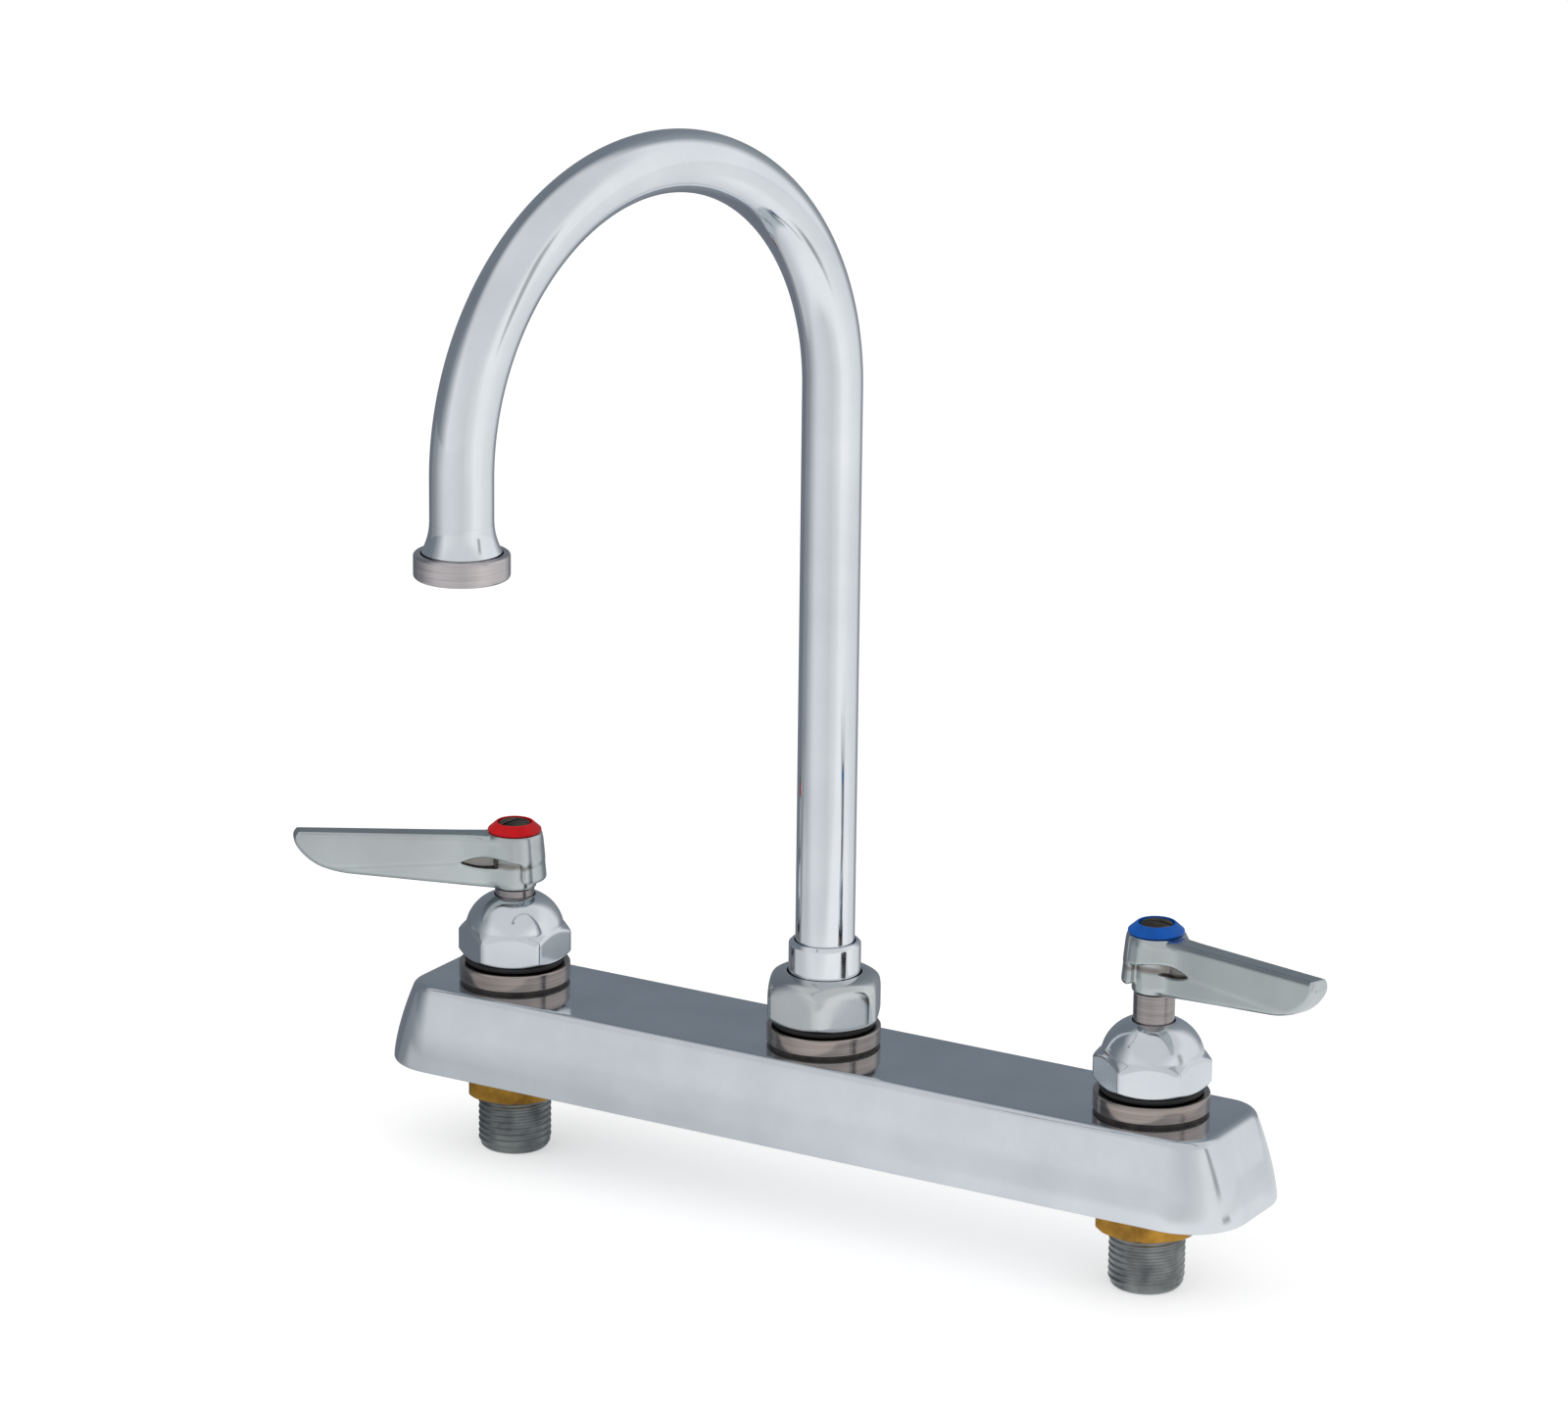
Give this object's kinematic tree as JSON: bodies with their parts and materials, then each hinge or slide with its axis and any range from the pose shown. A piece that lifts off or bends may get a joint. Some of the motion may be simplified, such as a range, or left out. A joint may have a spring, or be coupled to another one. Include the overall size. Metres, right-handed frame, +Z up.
{
  "type": "deck-mounted two-handle faucet",
  "caption": "Deck-mounted kitchen faucet: long cast body, hot and cold lever valves on rising stems and a tall swivelling gooseneck spout.",
  "frame": {"origin": "centre of the body's underside, on the deck surface, midway between the two inlets", "axes": "+Z up out of the deck; +X from the hot valve towards the cold valve; the user stands on the -Y side"},
  "size_m": [0.3105, 0.1761, 0.3143],
  "materials": {
    "cast_chrome": "bright chrome plate over a cast and polished body",
    "tube_chrome": "bright chrome plate on drawn tube",
    "lever_chrome": "chrome plate over a die-cast lever, slightly softer",
    "outlet_chrome": "satin chrome, slightly warm",
    "brass": "plain machined brass",
    "dark_steel": "dark threaded pipe",
    "dark_screw": "dark oxidised screw",
    "black_rubber": "matte black rubber",
    "red_plastic": "red, semi-gloss",
    "blue_plastic": "blue, semi-gloss",
    "grey_plastic": "grey moulded plastic"
  },
  "bodies": {
    "base": {"deck_body": "cast_chrome", "swivel_post": "brass", "swivel_gasket": "black_rubber", "swivel_nut": "cast_chrome", "hot_inlet_shank": "dark_steel", "hot_mounting_nut": "brass", "hot_seat": "brass", "hot_bonnet_gasket": "black_rubber", "hot_bonnet": "cast_chrome", "cold_inlet_shank": "dark_steel", "cold_mounting_nut": "brass", "cold_seat": "brass", "cold_bonnet_gasket": "black_rubber", "cold_bonnet": "cast_chrome"},
    "spout": {"swivel_sleeve": "cast_chrome", "swivel_o_ring_lower": "black_rubber", "swivel_o_ring_upper": "black_rubber", "gooseneck_tube": "tube_chrome", "outlet_adapter": "tube_chrome", "aerator_housing": "outlet_chrome", "aerator_insert": "grey_plastic", "aerator_washer": "black_rubber"},
    "hot_washer_unit": {"hot_seat_washer": "black_rubber", "hot_washer_screw": "brass"},
    "hot_handle_unit": {"hot_spindle": "cast_chrome", "hot_stem_o_ring": "black_rubber", "hot_lever": "lever_chrome", "hot_index_ring": "red_plastic", "hot_handle_screw": "dark_screw"},
    "cold_washer_unit": {"cold_seat_washer": "black_rubber", "cold_washer_screw": "brass"},
    "cold_handle_unit": {"cold_spindle": "cast_chrome", "cold_stem_o_ring": "black_rubber", "cold_lever": "lever_chrome", "cold_index_ring": "blue_plastic", "cold_handle_screw": "dark_screw"}
  },
  "joints": [
    {"name": "spout_swivel", "type": "hinge", "parent": "base", "child": "spout", "pos_m": [0, 0, 0.045], "axis": [0, 0, 1], "continuous": true},
    {"name": "hot_stem_rise", "type": "slide", "parent": "base", "child": "hot_washer_unit", "axis": [0, 0, 1], "range_m": [0, 0.00635]},
    {"name": "hot_handle_turn", "type": "hinge", "parent": "hot_washer_unit", "child": "hot_handle_unit", "pos_m": [-0.1016, 0, 0.06], "axis": [0, 0, 1], "range_deg": [0, 360]},
    {"name": "cold_stem_rise", "type": "slide", "parent": "base", "child": "cold_washer_unit", "axis": [0, 0, 1], "range_m": [-0.006, 0.00035]},
    {"name": "cold_handle_turn", "type": "hinge", "parent": "cold_washer_unit", "child": "cold_handle_unit", "pos_m": [0.1016, 0, 0.06], "axis": [0, 0, 1], "range_deg": [-20, 340]}
  ],
  "couplings": [
    {"joint": "hot_handle_turn", "follows": "hot_stem_rise", "rad_per_m": 989.47},
    {"joint": "cold_handle_turn", "follows": "cold_stem_rise", "rad_per_m": -989.47}
  ]
}
